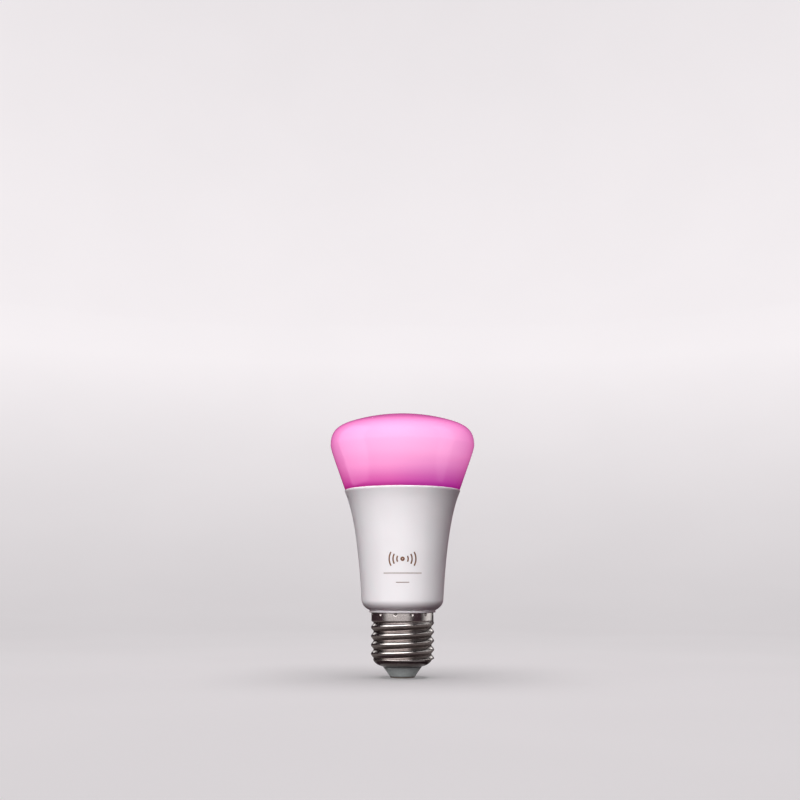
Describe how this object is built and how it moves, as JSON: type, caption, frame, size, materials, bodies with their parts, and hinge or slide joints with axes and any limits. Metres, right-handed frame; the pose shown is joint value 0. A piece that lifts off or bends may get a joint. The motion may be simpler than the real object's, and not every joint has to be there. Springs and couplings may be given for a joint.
{
  "type": "smart light bulb",
  "caption": "Smart LED light bulb with a conical white housing, a glowing opal dome and an E27 screw cap, with its light board, driver and radio inside.",
  "frame": {"origin": "middle of the centre contact's end face, on the bulb's axis", "axes": "+Z runs along the axis from the contact to the top of the dome, -Y is the front, +X is to the right seen from the front"},
  "size_m": [0.0616, 0.0616, 0.11],
  "materials": {
    "dome": "opal, glowing pink",
    "housing": "satin white",
    "nickel": "brushed nickel plate",
    "insulator": "satin grey",
    "silicone": "matte",
    "aluminium": "pressed",
    "pad": "matte",
    "white_board": "white solder mask",
    "green_board": "green solder mask",
    "warm_white_led": "phosphor",
    "cool_white_led": "phosphor",
    "red_led": "clear lens",
    "green_led": "clear lens",
    "blue_led": "clear lens",
    "steel": "zinc plate",
    "liner": "moulded",
    "black_plastic": "moulded",
    "cream_plastic": "moulded",
    "shield": "tinned",
    "copper": "bare copper",
    "ferrite": "sintered",
    "yellow_tape": "polyester tape",
    "can_sleeve": "shrink sleeve",
    "film_case": "moulded",
    "varistor_coat": "dipped",
    "fuse_coat": "lacquered",
    "red_wire": "insulated",
    "blue_wire": "insulated"
  },
  "bodies": {
    "root": {"blue_led_1": "blue_led", "blue_led_2": "blue_led", "board_screw_1": "steel", "board_screw_2": "steel", "board_screw_3": "steel", "bridge_rectifier": "black_plastic", "bulk_capacitor": "can_sleeve", "cap_insulator": "insulator", "cap_shell": "nickel", "centre_contact": "nickel", "choke_core": "ferrite", "choke_winding": "copper", "cool_white_led_1": "cool_white_led", "cool_white_led_2": "cool_white_led", "cool_white_led_3": "cool_white_led", "cool_white_led_4": "cool_white_led", "cool_white_led_5": "cool_white_led", "cool_white_led_6": "cool_white_led", "diffuser_dome": "dome", "dome_bond": "silicone", "driver_board": "green_board", "driver_liner": "liner", "film_capacitor": "film_case", "green_led_1": "green_led", "green_led_2": "green_led", "heat_sink": "aluminium", "housing": "housing", "led_board": "white_board", "led_pin_header": "black_plastic", "led_socket": "cream_plastic", "light_controller": "black_plastic", "liner_lid": "liner", "live_lead": "red_wire", "mains_fuse": "fuse_coat", "neutral_lead": "blue_wire", "output_capacitor": "can_sleeve", "power_controller": "black_plastic", "radio_antenna": "copper", "radio_board": "green_board", "radio_crystal": "shield", "radio_header": "black_plastic", "radio_shield": "shield", "red_led_1": "red_led", "red_led_2": "red_led", "surge_varistor": "varistor_coat", "thermal_pad": "pad", "transformer_bobbin": "black_plastic", "transformer_core": "ferrite", "transformer_winding": "yellow_tape", "warm_white_led_1": "warm_white_led", "warm_white_led_2": "warm_white_led", "warm_white_led_3": "warm_white_led", "warm_white_led_4": "warm_white_led", "warm_white_led_5": "warm_white_led", "warm_white_led_6": "warm_white_led"}
  },
  "joints": []
}
